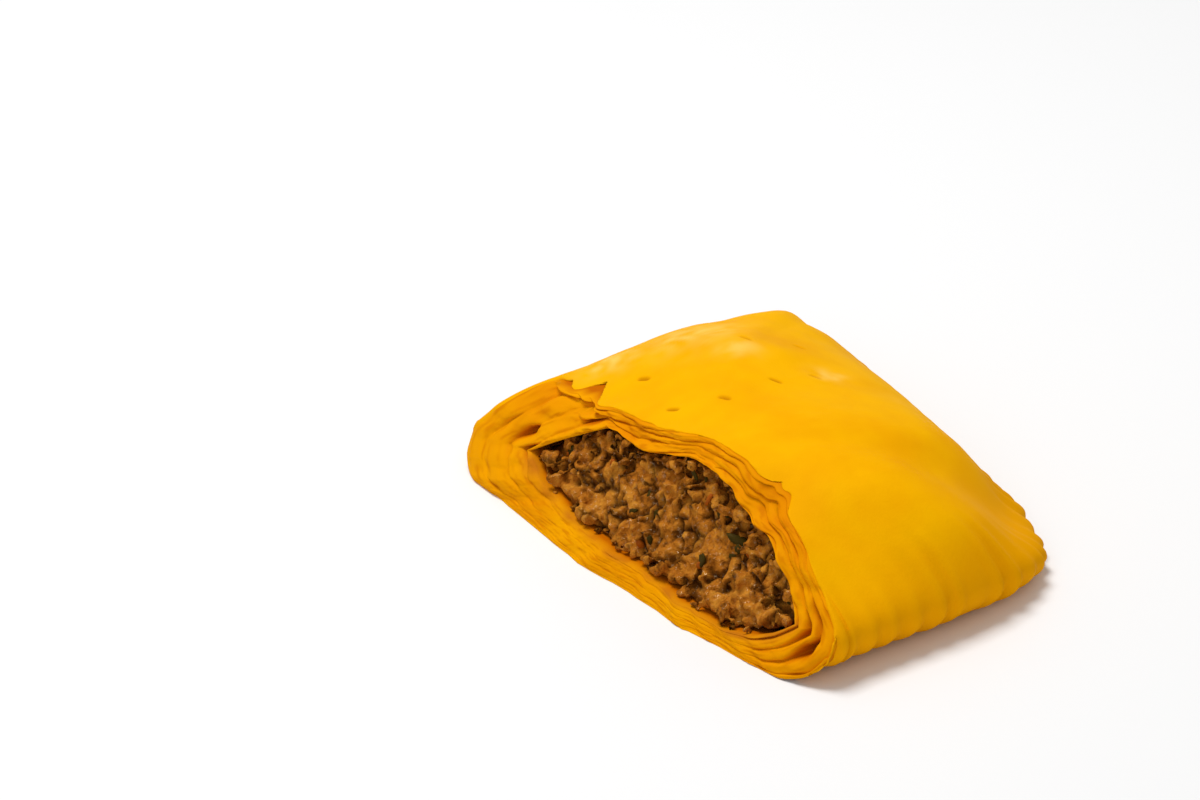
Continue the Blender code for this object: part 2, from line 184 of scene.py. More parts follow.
class PattyCrustSizes(bpy.types.PropertyGroup):
    sheets: setting("Sheets", "Sheets of dough through the crust's wall", 3.4, min=2)
    ragged: length("Ragged", "How unevenly each sheet broke at the cut", 0.32 * MM)
    torn_back: length("Torn back", "How much further each sheet breaks off than the next one in", 1.5 * MM)
    ledge: length("Ledge", "How much each sheet stands out from under the next one out", 0.2 * MM)
    nose: length("Nose", "How far the rounded edge of a sheet stands out", 0.35 * MM)
    crease: length("Crease", "Depth of the creases between two sheets", 0.8 * MM)
    lip: length("Lip", "How far the innermost sheet stands out over the filling", 0.8 * MM)
    reach: length("Reach", "How far the layered face runs back into the crust", 12 * MM)
    slit_length: length("Slit length", "Length of a docking slit", 2.1 * MM)
    slit_width: length("Slit width", "Width of a docking slit", 0.6 * MM)
    slit_depth: length("Slit depth", "Depth of a docking slit", 0.5 * MM)


class PattyFillingSizes(bpy.types.PropertyGroup):
    lump_radius: length("Lump radius", "Radius of the largest lumps of mince", 1.7 * MM)
    grain_radius: length("Grain radius", "Radius of the smallest grains of mince", 0.5 * MM)
    voxel: length("Fusing step", "Step of the grid that fuses the lumps", 0.3 * MM)
    seed: IntProperty(name="Seed", description="Draws another filling", default=11)


class PattyColours(bpy.types.PropertyGroup):
    top: colour("Top", "Turmeric yellow of the top of the crust", "F0AE00")
    golden: colour("Golden", "Deeper yellow in the crust's mottling", "EAA200")
    # Laid over the crust's low parts: partly their baked orange, partly painted shade
    wall: colour("Wall", "Orange of the crust's low walls", "E89E00")
    flour: colour("Flour", "Pale yellow where flour is left", "F6C860")
    # A darker brown laid into the dents of the docking slits
    slit: colour("Slit", "Browned dough in a docking slit", "B87000")
    sheet: colour("Sheet", "Bright yellow-orange of the inner sheets", "E99A00")
    crumb: colour("Crumb", "Deeper orange in the sheets' mottling", "DE8600")
    # Painted shade laid into the creases between the sheets, and the colour of darker streaks along them
    streaks_and_crease_shade: colour("Hollow", "Dough deep between two sheets", "BE6200")
    soaked: colour("Soaked", "Crust soaked with gravy next to the filling", "C07010")
    meat: colour("Meat", "Brown of the stewed mince", "AC661B")
    # Dark brown both for darker patches of meat and as painted shade in the nooks and cracks
    dark_meat_and_nook_shade: colour("Dark meat", "Dark brown in the nooks", "321403")
    meat_pale: colour("Pale meat", "Tan of the fatty grains", "CA862C")
    fat: colour("Fat", "Warm white of the glints on the wet mince", "FFE6B8")
    herb: colour("Herb", "Cooked thyme and scallion", "4A3A0C")
    pepper: colour("Pepper", "Chopped hot pepper", "B85C10")
    floor: colour("Floor", "Pale table top", "F0F0F0")


class PattyView(bpy.types.PropertyGroup):
    azimuth: setting("Azimuth", "Turn of the camera round the patty", math.radians(-38), subtype="ANGLE")
    elevation: setting("Elevation", "Camera's angle above the table", math.radians(27.5), subtype="ANGLE")
    distance: length("Distance", "From the camera to the patty", 0.8)
    lens: setting("Lens", "Focal length in millimetres on a 36 mm sensor", 151.2)
    across: setting("Across", "Patty's middle from the frame's left edge", 0.6713)
    down: setting("Down", "Patty's middle from the frame's top edge", 0.5466)


def lerp(a, b, share):
    return a + (b - a) * share


def smooth_step(low, high, value):
    share = min(1.0, max(0.0, (value - low) / (high - low)))
    return share * share * (3 - 2 * share)


def bell(value, width):
    return math.exp(-((value / width) ** 2))


def wander(*spot):
    """Smooth noise at a spot given by three numbers."""
    return noise.noise(Vector(spot))


def unevenness(place, size, height):
    """Smooth noise at a place in the form, with its size and its height in millimetres."""
    return noise.noise(place / (size * MM)) * height * MM


def outline_point(angle, inset_near=0.0, inset_fold=0.0, inset_end=0.0):
    """A point of the patty's outline from above: a rounded shape, longer along the fold than the crimp."""
    power = OUTLINE_POWER_FOLD if math.sin(angle) > 0 else OUTLINE_POWER_CRIMP
    radius = (abs(math.cos(angle)) ** power + abs(math.sin(angle)) ** power) ** (-1 / power)
    low, high = inset_near, WIDTH - inset_fold
    y = (low + high) / 2 + radius * math.sin(angle) * (high - low) / 2
    half_length = lerp(CRIMP_HALF_LENGTH, FOLD_HALF_LENGTH, y / WIDTH) - inset_end
    return Vector((radius * math.cos(angle) * half_length, y, 0))


class Column:
    """One spot on an outline, with what the rim does there and how the sheets above it turn."""

    def __init__(self, point, normal, arc):
        self.point = point
        self.normal = normal
        self.outward = (point - CROWN).normalized()
        self.reach = (point - CROWN).length
        turned = math.asin(self.outward.y)
        self.fold_body = smooth_step(0.1, 1.3, turned)
        self.near_body = smooth_step(0.85, 1.5, -turned)
        self.far = smooth_step(-0.1, 0.6, turned)
        self.corner = math.exp(-(((turned + 0.64) / 0.19) ** 2))
        self.fold = smooth_step(0.2, 0.9, normal.y)
        self.near = smooth_step(0.35, 0.95, -normal.y)
        self.end = 1 - self.fold - self.near
        self.arc = arc


def columns_of(insets, rim_step, fold_step):
    """Spots round an outline, close together where the rim stays and wide apart where it is cut away."""
    samples = 8000
    angles = [2 * math.pi * i / samples - math.pi / 2 for i in range(samples)]
    points = [outline_point(a, *insets) for a in angles]
    columns, travelled, due = [], 0.0, 0.0
    for i, point in enumerate(points):
        ahead = points[(i + 1) % samples] - points[i - 1]
        normal = Vector((ahead.y, -ahead.x, 0)).normalized()
        if travelled >= due:
            columns.append(Column(point, normal, travelled))
            followed = point.x > FOLLOWED_TO
            due = travelled + (lerp(rim_step, fold_step, columns[-1].fold) if followed else HIDDEN_STEP)
        travelled += (points[(i + 1) % samples] - point).length
    return columns


def crust_columns():
    return columns_of((0, 0, 0), 0.75 * MM, 1.1 * MM)


def pocket_columns():
    return columns_of((SEAL_NEAR, SEAL_FOLD, SEAL_END), 2.5 * MM, 2.5 * MM)


def crimp_wave(arc):
    """From -1 in a pressed groove to 1 on a ridge, a little uneven as pressed by hand."""
    shifted = 0.35 * wander(arc / (3 * CRIMP_PITCH), 4.0, 0)
    strength = 0.6 + 0.9 * wander(arc / (1.7 * CRIMP_PITCH), 8.0, 0)
    return math.cos(2 * math.pi * (arc / CRIMP_PITCH + shifted)) * strength


def by_side(column, near, fold, end):
    """One value made of those for the near side, the fold and the end, as far as a spot belongs to each."""
    return near * column.near + fold * column.fold + end * column.end


def edge_height(column):
    """Height of the outline's own line, where the top sheet meets the bottom one."""
    return by_side(column, *EDGE_HEIGHTS) - 2.0 * MM * column.corner


def body_rise(column, closeness, run):
    """How far the body has risen, from 0 at the rim to 1 at the crown. Closeness is 1 at the rim and 0 at
    the crown, and run is the way between them. The end rises steeply at first, the other sides evenly."""
    power = 3.5 + 1.0 * column.fold_body - 1.5 * column.near_body
    eased = (math.hypot(closeness, CROWN_EASE) - CROWN_EASE) / (math.hypot(1, CROWN_EASE) - CROWN_EASE)
    even = lerp(1 - eased, 1 - closeness**power, lerp(0.8, 0.6, column.near_body))
    steep = lerp(0.46, 0.53, column.end) - 0.22 * column.far
    width = (lerp(3.2, 5.0, column.end) + 6.5 * column.corner) * MM
    wall = 1 - math.exp(-(((1 - closeness) * run / width) ** lerp(1.0, 1.2, column.corner)))
    walled = steep * wall + (1 - steep) * lerp(1 - eased, 1 - closeness**2.2, 0.7)
    return lerp(walled, even, max(column.near_body, column.fold_body))


def top_sheet(column, share):
    """How far in and how high the top sheet lies: share is 0 at the outline and 1 at the crown."""
    flange = lerp(0.8 * MM, FLANGE_WIDTH, column.end) + FLANGE_CORNER * column.corner
    lip = by_side(column, lerp(6.8 * MM, 8.5 * MM, column.near_body), 7.0 * MM, FLANGE_HEIGHT)
    lip += 0.8 * MM * column.corner
    if share < RIM_LEVEL:
        along = share / RIM_LEVEL
        rise = math.sin(along * math.pi / 2) ** 0.8
        return flange * along, lerp(edge_height(column), lip, rise)
    inward = (share - RIM_LEVEL) / (1 - RIM_LEVEL)
    closeness = 1 - inward**1.6
    rise = body_rise(column, closeness, column.reach - flange)
    return lerp(column.reach, flange, closeness), lerp(lip, HEIGHT, rise)


def bottom_sheet(column, share):
    """The same for the bottom sheet, which is flat where it lies and turns up to the rim: 0 is the rim."""
    turned = by_side(column, *TURN_WIDTHS) - 3.0 * MM * column.corner
    edge = edge_height(column)
    if share < BASE_LEVEL:
        angle = share / BASE_LEVEL * math.pi / 2
        return turned * (1 - math.cos(angle)), edge * (1 - math.sin(angle))
    return lerp(turned, column.reach, (share - BASE_LEVEL) / (1 - BASE_LEVEL)), 0.0


def swell(place):
    """How far the patty's top rises above or sinks below its even shape: soft rolls, and where the blade
    that cut it pressed it down, hardest behind the middle."""
    rolls = unevenness(place, 17, 0.9) + unevenness(place, 8, 0.35)
    pressed = smooth_step(14 * MM, 26 * MM, place.y) * (1 - smooth_step(74 * MM, 90 * MM, place.y))
    return rolls - CUT_PRESSED * pressed * at_cut(place) - CUT_DENTED * at_cut(place, 53 * MM, 10 * MM)


def at_cut(place, y=0.0, spread=math.inf):
    """How much a spot lies at the cut, and there at a distance from the near rim."""
    return math.exp(-((place.x / (14 * MM)) ** 2) - ((place.y - y) / spread) ** 2)


def pinch(place):
    """How far the crust alone is pinched down at the cut, next to the fold."""
    return CUT_PINCHED * at_cut(place, 69 * MM, 11 * MM)


def heap(place):
    """How far the filling alone is heaped up at the cut, under the thinnest of the crust."""
    return CUT_HEAPED * at_cut(place, 63 * MM, 7 * MM)


def crust_point(column, level):
    """A point of the pastry's outside. Level -1 is under the crown, 0 is the rim and 1 is the crown."""
    on_top = level >= 0
    inward, height = top_sheet(column, level) if on_top else bottom_sheet(column, -level)
    wave = crimp_wave(column.arc)
    crimped = 1 - column.fold
    low_on_wall = 1 - smooth_step(1.5 * MM, lerp(10 * MM, 7 * MM, column.end), inward)
    pushed = CRIMP_DEPTH * crimped * wave * low_on_wall
    place = column.point - column.outward * inward + column.normal * pushed
    place.z = height
    if on_top:
        place.z += (swell(place) - pinch(place)) * smooth_step(0.0, 14 * MM, inward)
        flat_flange = column.end * (1 - smooth_step(FLANGE_WIDTH, 2.0 * FLANGE_WIDTH, inward))
        place.z += CRIMP_DEPTH * 0.8 * wave * flat_flange * smooth_step(0.0, 0.2, level)
    return place


def filling_point(column, level, grown):
    """A point of the filling's outside, or of the pocket round it when grown by the gap between them."""
    high = HEIGHT - TOP_CRUST + grown
    seam = by_side(column, *SEAM_HEIGHTS)
    share = abs(level) ** 0.75
    place = lerp(column.point + column.normal * grown, CROWN, share)
    closeness = 1 - share
    if level >= 0:
        place.z = seam + (high - seam) * (1 - closeness**2.1) ** 1.1
        place.z += (swell(place) + heap(place)) * smooth_step(0.0, 0.5, level)
    else:
        low = BOTTOM_CRUST + BOTTOM_DOUBLED * smooth_step(20 * MM, 44 * MM, place.y) - grown
        place.z = low + (seam - low) * closeness ** lerp(6, 4, column.fold)
    return place


def cut_plane(y, z):
    """How far back (+X) the smooth cut lies: the foot is bowed outwards and the top lies back."""
    bowed = math.sqrt(math.sin(math.pi * min(1.0, max(0.0, y / WIDTH))))
    return CUT_FOOT + CUT_SLANT * z - CUT_BELLY * bowed * (1 - smooth_step(0, 0.4 * HEIGHT, z))


def filling_face(y, z):
    """How far back (+X) the filling's cut face lies: set in at its upper edge and ends, and standing out in
    the middle and at the foot."""
    off_centre = math.hypot((y - 46 * MM) / (36 * MM), (z - 12 * MM) / (11 * MM))
    bulge = lerp(0.0, 1.0 * MM, smooth_step(0.2, 1.0, off_centre))
    return cut_plane(y, z) + bulge * lerp(0.1, 1.0, smooth_step(7 * MM, 14 * MM, z))


def ring_noise(share, size, seed):
    """Noise that closes on itself round the profile."""
    turn = share * 2 * math.pi
    return wander(math.cos(turn) * size, math.sin(turn) * size, seed)


def grid(across, up, place):
    """A mesh of a grid whose vertices go where place puts (column, row), with what then meets merged."""
    mesh = bmesh.new()
    bmesh.ops.create_grid(mesh, x_segments=across, y_segments=up, size=1)
    for vertex in mesh.verts:
        i = round((vertex.co.x + 1) / 2 * across)
        j = round((vertex.co.y + 1) / 2 * up)
        vertex.co = place(i % across, j)
    bmesh.ops.remove_doubles(mesh, verts=mesh.verts, dist=0.001 * MM)
    bmesh.ops.recalc_face_normals(mesh, faces=mesh.faces)
    return mesh


def filling_grid(columns, grown):
    return grid(len(columns), len(POCKET_LEVELS) - 1,
                lambda i, j: filling_point(columns[i], POCKET_LEVELS[j], grown))


def lengths_along(points):
    """How far along the line through some points each of them lies."""
    gone = [0.0]
    for a, b in zip(points, points[1:]):
        gone.append(gone[-1] + (b - a).length)
    return gone


def spots_along(points, gone, goals):
    """The spots at growing distances along the line through some points, of which gone has the distances."""
    spots, j = [], 0
    for goal in goals:
        while j < len(gone) - 2 and gone[j + 1] < goal:
            j += 1
        spots.append(points[j].lerp(points[j + 1], (goal - gone[j]) / max(gone[j + 1] - gone[j], 1e-12)))
    return spots


def half_section(columns, side, sign, place, samples):
    """The profile at the cut from rim to crown, on one side and one sheet, as evenly spaced points."""
    column = min(columns, key=lambda c: (c.point - Vector((0, side, 0))).length)
    outward = Vector((0, math.copysign(1, side - CROWN.y), 0))
    straight = Column(Vector((0, column.point.y, 0)), outward, column.arc)
    points = [place(straight, sign * i / (4 * samples)) for i in range(4 * samples + 1)]
    for point in points:
        point.x = 0
    gone = lengths_along(points)
    return spots_along(points, gone, (gone[-1] * i / samples for i in range(samples + 1)))


def section_loop(columns, place):
    """The whole closed profile at the cut: over the top from near side to fold, and back underneath."""
    loop = []
    for side, sign, count, outbound in ((0, 1, 119, True), (WIDTH, 1, 147, False),
                                        (WIDTH, -1, 147, True), (0, -1, 119, False)):
        part = half_section(columns, side, sign, place, count)
        loop += part[:-1] if outbound else part[:0:-1]
    return loop


def filling_loop(columns, grown):
    return section_loop(columns, lambda column, level: filling_point(column, level, grown))


class Profile:
    """The crust's wall at the cut: two matched loops, round the outside and round the filling."""

    def __init__(self, columns, pocket):
        self.outer = section_loop(columns, crust_point)
        self.inner = filling_loop(pocket, FIT_GAP)
        self.count = len(self.outer)
        self.tree = KDTree(self.count)
        for i, spot in enumerate(self.outer):
            self.tree.insert(spot, i)
        self.tree.balance()

    def share(self, y, z):
        """How far round the outer loop its nearest spot lies, from 0 to 1."""
        spot = Vector((0, y, z))
        _, i, _ = self.tree.find(spot)
        best, share = 1e9, 0.0
        for first in (i - 1, i):
            a, b = self.outer[first], self.outer[(first + 1) % self.count]
            along = min(1.0, max(0.0, (spot - a).dot(b - a) / max((b - a).length_squared, 1e-14)))
            away = (a.lerp(b, along) - spot).length
            if away < best:
                best, share = away, (first + along) / self.count
        return share % 1.0

    def across(self, share):
        """The two ends of the wall at a share of the way round."""
        spot = share % 1.0 * self.count
        i, rest = int(spot) % self.count, spot - int(spot)
        j = (i + 1) % self.count
        return self.outer[i].lerp(self.outer[j], rest), self.inner[i].lerp(self.inner[j], rest)


def drift(share):
    """How many sheets have run out on the skin by a share of the way round, from none at the fold."""
    return 1.7 * smooth_step(0.02, 0.42, abs(share % 1.0 - 0.5))


def seam_depth(sizes, share, seam):
    """How deep in the wall, from 0 at the skin to 1 at the filling, a seam between two sheets lies."""
    wavy = 0.32 * ring_noise(share, 2.5, 20.0 + seam) + 0.12 * ring_noise(share, 9.0, 40.0 + seam)
    return min(1.0, max(0.0, (seam - drift(share) + wavy) / sizes.sheets))


def sheet_edge(sizes, share, y, z, depth):
    """How far back (+X) the crust ends at a share of the way round and at a depth in its wall: its sheets
    broke off unevenly, and the outer ones further back than the inner ones."""
    layer = depth * sizes.sheets
    ragged = ring_noise(share, 2.2, 1.7) * CUT_RAGGED + ring_noise(share, 7.0, 3.1) * CUT_RAGGED * 0.5
    calm = lerp(1.0, 0.4, at_foot(share))
    fine = ring_noise(share, 9.0, 5.3 + 0.8 * layer) + ring_noise(share, 30.0, 2.9 + layer) * 0.2
    ragged += fine * sizes.ragged * calm
    beneath = sizes.sheets * (1 - depth)
    broken = sum(amount * bell(share - place, spread) for place, spread, amount in BROKEN)
    torn = beneath * sizes.torn_back * broken
    wide, narrow = ring_noise(share, 8.0, 8.0 + 0.9 * layer), ring_noise(share, 17.0, 6.0 + 0.5 * layer)
    torn *= 1 + 0.9 * wide + 0.2 * narrow
    on_top = smooth_step(0.35, 0.7, z / HEIGHT)
    ledge = beneath * sizes.ledge * on_top * (1 + 0.8 * ring_noise(share, 6.0, 4.0 + layer))
    return cut_plane(y, z) + ragged + torn + ledge


def at_foot(share):
    """How far a spot of the profile belongs to the patty's underside."""
    return smooth_step(0.53, 0.6, share) * smooth_step(0.97, 0.9, share)


def crease(sizes, share, seam):
    """Depth and half width (as a share of a sheet) of the crease at a seam: shallow where the sheets have
    merged, and open where they have parted."""
    depth = seam_depth(sizes, share, seam)
    fading = smooth_step(0.0, 0.07, depth) * smooth_step(1.0, 0.93, depth)
    parted = max(0.0, 0.25 + 1.2 * ring_noise(share, 5.5, 50.0 + seam))
    opened = 0.0
    for place, spread, opened_seam, amount in PARTED:
        if opened_seam == seam:
            opened += amount * bell((share - place + 0.5) % 1.0 - 0.5, spread)
    sunk = sizes.crease * parted * lerp(1.0, 0.12, at_foot(share)) + 4.0 * MM * opened
    return fading * sunk, 0.13 + 0.10 * min(1.0, opened) + 0.04 * parted


def cut_open(mesh, edge, behind=True):
    """Cuts a mesh along a ragged edge and keeps what lies behind it: the mesh is sheared until the edge is
    flat, cut there, and sheared back."""
    for vertex in mesh.verts:
        vertex.co.x -= edge(vertex.co.y, vertex.co.z)
    everything = mesh.verts[:] + mesh.edges[:] + mesh.faces[:]
    cut = bmesh.ops.bisect_plane(
        mesh, geom=everything, dist=0.0005 * MM, plane_co=(0, 0, 0), plane_no=(1, 0, 0),
        clear_inner=behind, clear_outer=not behind,
    )
    for vertex in mesh.verts:
        vertex.co.x += edge(vertex.co.y, vertex.co.z)
    return [item for item in cut["geom_cut"] if isinstance(item, bmesh.types.BMEdge)]


def add_ball(mesh, detail, stretch, turn, radius, place, bumps, draw):
    """Adds an uneven ball, stretched and turned. The bumps are given by their height and closeness."""
    seed = draw.uniform(0, 50)
    height, closeness = bumps
    for vertex in bmesh.ops.create_icosphere(mesh, subdivisions=detail, radius=1)["verts"]:
        bump = 1 + height * noise.noise(vertex.co * closeness + Vector((seed, 0, 0)))
        shape = Vector([a * b for a, b in zip(vertex.co, stretch)])
        vertex.co = turn @ shape * radius * bump + place


def refine(mesh, chosen, times):
    """Splits the edges whose both ends are chosen."""
    for _ in range(times):
        picked = {vertex for vertex in mesh.verts if chosen(vertex.co)}
        edges = [edge for edge in mesh.edges if edge.verts[0] in picked and edge.verts[1] in picked]
        bmesh.ops.subdivide_edges(mesh, edges=edges, cuts=1, use_grid_fill=True)


def press_slits(mesh, sizes):
    """Dents the top sheet with the docking slits, and marks how deeply each spot is pressed."""
    pressed = mesh.verts.layers.float.new("pressed")
    spots = [Vector((x * MM, y * MM)) for x, y in SLITS]
    refine(mesh, lambda co: co.z > TOP_ABOVE and any((co.xy - spot).length < 3.2 * MM for spot in spots), 2)
    along = Vector((math.cos(SLIT_TURN), math.sin(SLIT_TURN)))
    for number, spot in enumerate(spots):
        depth = sizes.slit_depth * (1.0 if number < CLEAR_SLITS else 0.6)
        for vertex in mesh.verts:
            away = vertex.co.xy - spot
            if away.length > 4 * MM or vertex.co.z < TOP_ABOVE:
                continue
            u = away.dot(along) / (sizes.slit_length / 2)
            v = (away.x * -along.y + away.y * along.x) / (sizes.slit_width / 2)
            share = math.exp(-(u**4) - v * v)
            rim = math.exp(-(u**2) - (v - 2.2) ** 2)
            vertex.co.z += rim * depth * 0.15 - share * depth
            vertex[pressed] = max(vertex[pressed], share * (depth / sizes.slit_depth))


def data_of(name, mesh):
    """Blender's own mesh made of one in the works, which is then let go."""
    data = bpy.data.meshes.new(name)
    mesh.to_mesh(data)
    mesh.free()
    return data


def object_of(name, data):
    made = bpy.data.objects.new(name, data)
    bpy.context.scene.collection.objects.link(made)
    return made


def join(mesh, other):
    """Adds another mesh in the works to the first one."""
    data = data_of("joined", other)
    mesh.from_mesh(data)
    bpy.data.meshes.remove(data)


def piece_of(name, mesh, finish, slot, *nodes):
    """Makes a piece of a mesh in the form's own place, moves it into the frame and lets it ride there."""
    bmesh.ops.transform(mesh, matrix=TO_FRAME, verts=mesh.verts)
    for face in mesh.faces:
        face.smooth = True
    data = data_of(name, mesh)
    data.materials.append(finish)
    made = object_of(name, data)
    if nodes:
        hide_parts(*nodes)
    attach(made, "root")


def feed(node, inputs):
    """Sets a node's sockets, each to a value or to what another node gives."""
    for name, given in dict(inputs).items():
        if isinstance(given, bpy.types.NodeSocket):
            node.id_data.links.new(given, node.inputs[name])
        else:
            node.inputs[name].default_value = given


def add_node(material, kind, settings=(), inputs=()):
    """Adds a node: settings are its options, and inputs what its sockets are given."""
    made = material.node_tree.nodes.new(kind)
    for name, value in dict(settings).items():
        setattr(made, name, value)
    feed(made, inputs)
    return made


def new_material(name):
    """A material and its shader."""
    made = bpy.data.materials.new(name)
    made.use_nodes = True
    return made, made.node_tree.nodes["Principled BSDF"]


def place_on(material):
    return add_node(material, "ShaderNodeTexCoord").outputs["Object"]


def patches(material, place, size, detail, roughness=0.5):
    """Noise with patches of a size in millimetres."""
    return add_node(material, "ShaderNodeTexNoise", inputs={
        "Vector": place, "Scale": 1 / (size * MM), "Detail": detail, "Roughness": roughness,
    }).outputs["Fac"]


def share_of(material, value, low, high, start=0.0, stop=1.0, kind="LINEAR"):
    """Leads from start, where the value is low, to stop, where it is high."""
    return add_node(material, "ShaderNodeMapRange", {"interpolation_type": kind}, {
        "Value": value, "From Min": low, "From Max": high, "To Min": start, "To Max": stop,
    }).outputs["Result"]


def blend(material, amount, below, above):
    """Lays one colour over another, as much as the amount says."""
    mix = add_node(material, "ShaderNodeMix", {"data_type": "RGBA"}, {0: amount, 6: below, 7: above})
    return mix.outputs[2]


def marked(material, name):
    """A mark that the mesh carries."""
    return add_node(material, "ShaderNodeAttribute", {"attribute_name": name}).outputs["Fac"]


def raised(material, height, strength, distance, **more):
    """Bumps as high as a distance in millimetres."""
    return add_node(material, "ShaderNodeBump", inputs={
        "Height": height, "Strength": strength, "Distance": distance * MM, **more,
    }).outputs["Normal"]


def opaque(rgb):
    return (*rgb, 1.0)


def baked_pastry(name, colours, sheets):
    """Turmeric shortcrust, rolled and baked. It is matt and strongly yellow, with golden mottling, and more
    orange and darker where it lies low, partly its baked colour and partly painted shade. It is paler where
    flour is left, and the broken sheets have painted shade in their creases and darker streaks along them."""
    made, shader = new_material(name)
    place = place_on(made)
    mottling = share_of(made, patches(made, place, 14, 3, 0.55), 0.38, 0.66)
    plain, deeper = (colours.sheet, colours.crumb) if sheets else (colours.top, colours.golden)
    stained = blend(made, mottling, opaque(plain), opaque(deeper))
    height = add_node(made, "ShaderNodeSeparateXYZ", inputs={"Vector": place}).outputs["Z"]
    # Lower down, a darker orange is laid over the mottling: partly the walls' baked colour, partly painted
    # shade
    low = share_of(made, height, 17 * MM, 5 * MM, stop=0.35 if sheets else 1.0, kind="SMOOTHSTEP")
    stained = blend(made, low, stained, opaque(colours.wall))
    # Marks laid over the colour: flour left on the top, a darker brown in the docking slits, darker streaks
    # and painted shade in the creases of the broken sheets, and gravy soaked in next to the filling
    for mark, rgb in (("flour", colours.flour), ("pressed", colours.slit), ("streaks_and_crease_shade", colours.streaks_and_crease_shade),
                      ("soaked", colours.soaked)):
        stained = blend(made, marked(made, mark), stained, opaque(rgb))
    # Rolled dough has a fine sandy grain of about half a millimetre
    grain = patches(made, place, 0.7, 3)
    feed(shader, {"Base Color": stained, "Roughness": 0.6, "Specular IOR Level": 0.01,
                  "Normal": raised(made, grain, 0.35, 0.12)})
    return made


def stewed_mince(name, colours):
    """Beef mince stewed in gravy. It is brown with tan fatty grains and darker patches, it has painted shade
    in its nooks, and it glistens.
    """
    made, shader = new_material(name)
    place = place_on(made)
    grains = patches(made, place, 1.3, 4, 0.6)
    tinted = add_node(made, "ShaderNodeMath", {"operation": "MULTIPLY_ADD"},
                      {0: marked(made, "lump"), 1: 0.35, 2: grains}).outputs["Value"]
    meat = blend(made, share_of(made, tinted, 0.62, 0.95), opaque(colours.meat), opaque(colours.meat_pale))
    meat = blend(made, share_of(made, tinted, 0.6, 0.38, stop=0.75), meat, opaque(colours.dark_meat_and_nook_shade))
    # Painted shade in the cracks and where the mince lies deep behind its face
    meat = blend(made, marked(made, "sunk"), meat, opaque(colours.dark_meat_and_nook_shade))
    # Beads of fat and gravy, under a millimetre wide, glisten on the duller meat
    beads = patches(made, place, 0.6, 2)
    pitted = raised(made, grains, 0.8, 0.9)
    feed(shader, {
        "Base Color": meat,
        "Roughness": share_of(made, beads, 0.54, 0.63, 0.6, 0.15),
        "Specular IOR Level": share_of(made, beads, 0.57, 0.66, 0.02, 0.9),
        "Specular Tint": opaque(colours.fat),
        "Normal": raised(made, beads, 0.8, 0.4, Normal=pitted),
    })
    return made


def cooked_bits(name, rgb, roughness):
    """Soft cooked vegetable. It is a little uneven in colour and wet with gravy."""
    made, shader = new_material(name)
    place = place_on(made)
    uneven = blend(made, patches(made, place, 0.9, 2), opaque(rgb), opaque([c * 0.45 for c in rgb]))
    feed(shader, {"Base Color": uneven, "Roughness": roughness, "Specular IOR Level": 0.05})
    return made


def slumped(column):
    """The crust's outside over one spot of the outline. Its rim is rounded, as the dough slumped in the
    oven, and brought back out to where the plain form's rim lies."""
    points = [crust_point(column, level) for level in CRUST_LEVELS]
    if column.point.x < FOLLOWED_TO or column.fold > 0.5:
        return points
    gone = lengths_along(points)
    count = int(gone[-1] / SLUMP_STEP) + 2
    even = spots_along(points, gone, (min(i * SLUMP_STEP, gone[-1]) for i in range(count)))
    rim = gone[CRUST_LEVELS.index(0)]
    near_rim = [i for i in range(1, count - 1) if abs(i * SLUMP_STEP - rim) < SLUMP_REACH]
    soft = [spot.copy() for spot in even]
    for _ in range(round(RIM_SLUMP * RIM_SLUMP / (0.5 * SLUMP_STEP * SLUMP_STEP))):
        last = soft[near_rim[0] - 1]
        for i in near_rim:
            eased = (last + soft[i] * 2 + soft[i + 1]) / 4
            last, soft[i] = soft[i], eased
    out = [max((spot - column.point).dot(column.normal) for spot in line) for line in (even, soft)]
    moved = []
    for point, along in zip(points, gone):
        i = min(int(along / SLUMP_STEP), count - 2)
        eased = soft[i].lerp(soft[i + 1], along / SLUMP_STEP - i)
        eased += column.normal * (out[0] - out[1]) * bell(along - rim, 7 * MM)
        amount = (1 - column.fold / 0.5) * smooth_step(SLUMP_REACH, 16 * MM, abs(along - rim))
        moved.append(point.lerp(eased, amount))
    return moved


def wrinkled(place):
    """The fine unevenness of rolled dough, which the plain form leaves out."""
    puckers = unevenness(place, 4, 0.10) + unevenness(place, 1.8, 0.05)
    return place + Vector((0, 0, puckers * smooth_step(2 * MM, 8 * MM, place.z)))


class Crust:
    """What the crust's pieces share: the profile at the cut and the whole top surface."""

    def __init__(self):
        columns = crust_columns()
        self.pocket = pocket_columns()
        self.profile = Profile(columns, self.pocket)
        skin = [slumped(column) for column in columns]
        self.whole = grid(len(columns), len(CRUST_LEVELS) - 1, lambda i, j: wrinkled(skin[i][j]))
        self.surface = BVHTree.FromBMesh(self.whole)

    def top(self, x, y):
        """Height of the crust's top at a spot, or None outside it."""
        spot, *_ = self.surface.ray_cast(Vector((x, y, 2 * HEIGHT)), Vector((0, 0, -1)))
        return spot.z if spot else None

    def in_wall(self, share, depth, x):
        """A spot inside the crust's wall: round the profile, into its thickness, and back from the cut."""
        outer, inner = self.profile.across(share)
        place = outer.lerp(inner, depth)
        here, there = self.top(0.0, place.y), self.top(x, place.y)
        if here and there and place.z > 0:
            place.z += (there - here) * min(1.0, place.z / here)
        place.x = x
        return place


